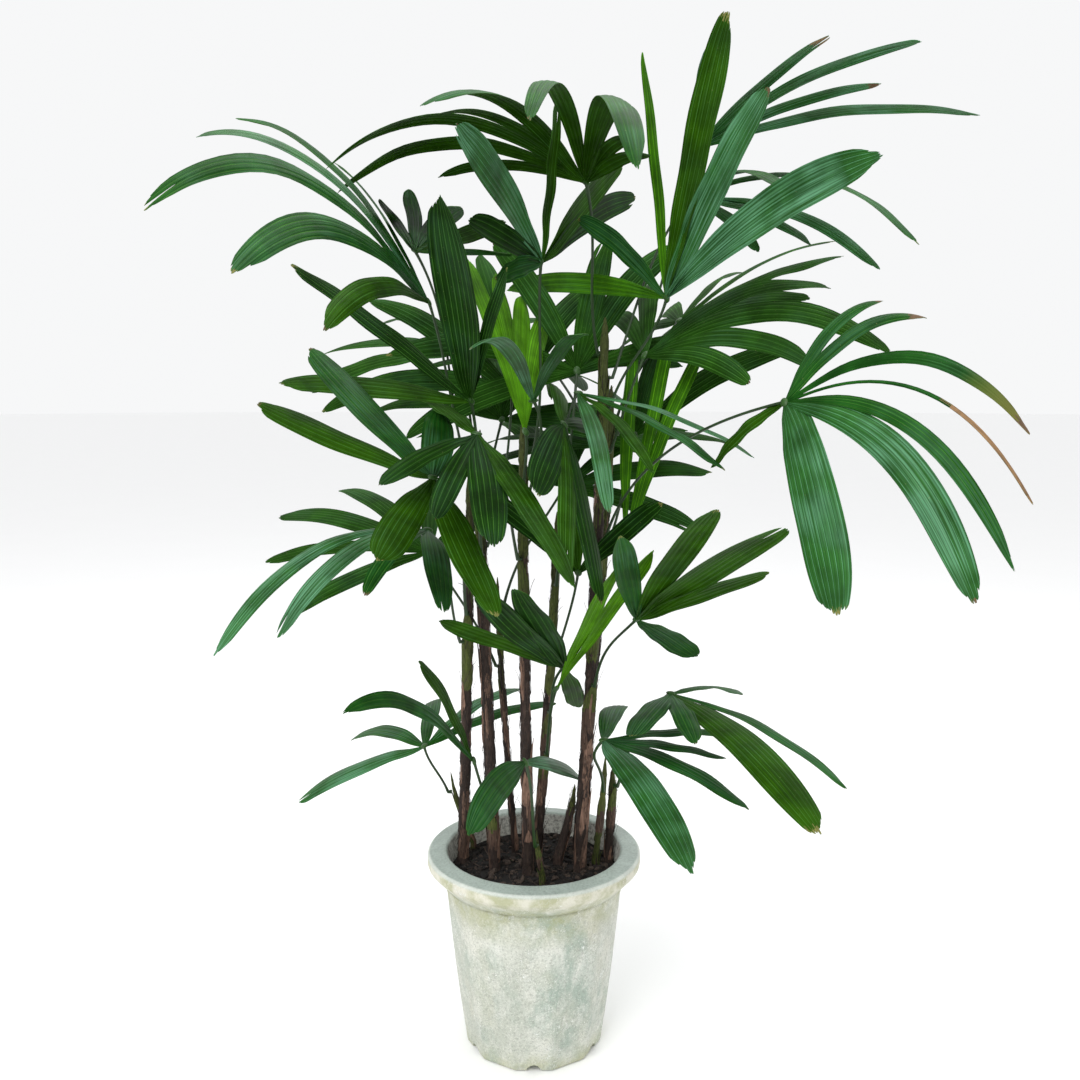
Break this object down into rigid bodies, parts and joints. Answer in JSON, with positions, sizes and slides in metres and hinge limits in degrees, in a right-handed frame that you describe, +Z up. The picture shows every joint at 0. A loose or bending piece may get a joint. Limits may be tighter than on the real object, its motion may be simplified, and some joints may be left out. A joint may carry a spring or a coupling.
{
  "type": "potted_lady_palm",
  "caption": "Lady palm in a pale grey-green round pot: slender brown canes and deep green fan-shaped fronds with pleated, blunt-tipped leaflets, some dried brown.",
  "frame": {"origin": "the middle of the pot's flat underside", "axes": "+Z up along the pot's axis, -Y towards the viewer of the plant's front, +X to that viewer's right"},
  "size_m": [0.9749, 0.9113, 1.3405],
  "materials": {
    "glazed_pot": "satin",
    "potting_soil": "matte",
    "cane_bark": "matte",
    "leaf_green": "satin",
    "new_leaf": "satin"
  },
  "bodies": {
    "root": {"Pot": "glazed_pot", "Soil": "potting_soil", "Cane_Left": "cane_bark", "Cane_Left_Inner": "cane_bark", "Cane_Left_Back": "cane_bark", "Cane_Thin": "cane_bark", "Cane_Middle": "cane_bark", "Cane_Middle_Right": "cane_bark", "Cane_Short": "cane_bark", "Cane_Right": "cane_bark", "Cane_Right_Back": "cane_bark", "Cane_Olive": "cane_bark", "Cane_Right_Low": "cane_bark", "Shoot_Left": "cane_bark", "Shoot_Middle": "cane_bark", "Frond_Young": "new_leaf", "Spear_Middle": "new_leaf", "Spear_Right": "new_leaf", "Frond_Right_Hanging": "leaf_green", "Frond_Crown_Right": "leaf_green", "Frond_Crown_Top": "leaf_green", "Frond_Left_High": "leaf_green", "Frond_Left_Broad": "leaf_green", "Frond_Left_Front": "leaf_green", "Frond_Far_Right_High": "leaf_green", "Frond_Far_Right": "leaf_green", "Frond_Right_Dark": "leaf_green", "Frond_Right_Light": "leaf_green", "Frond_Low_Right": "leaf_green", "Frond_Low_Front": "leaf_green", "Frond_Centre_Dark": "leaf_green", "Frond_Centre_Front": "leaf_green", "Frond_Centre_Curled": "leaf_green", "Frond_Centre_Thin": "leaf_green", "Frond_Centre_High": "leaf_green", "Frond_Centre_Low": "leaf_green", "Frond_Left_Low": "leaf_green", "Frond_Inner_Right": "leaf_green", "Frond_Inner_Left": "leaf_green", "Frond_Inner_Far": "leaf_green", "Frond_Inner_Low": "leaf_green", "Frond_Left_High_Back": "leaf_green", "Frond_Shoot_Left": "leaf_green", "Frond_Low_Left": "leaf_green", "Frond_Shoot_Middle": "leaf_green", "Frond_Back_1": "leaf_green", "Frond_Back_2": "leaf_green", "Frond_Back_3": "leaf_green", "Frond_Back_4": "leaf_green", "Frond_Back_5": "leaf_green", "Frond_Back_6": "leaf_green", "Frond_Back_7": "leaf_green"}
  },
  "joints": []
}
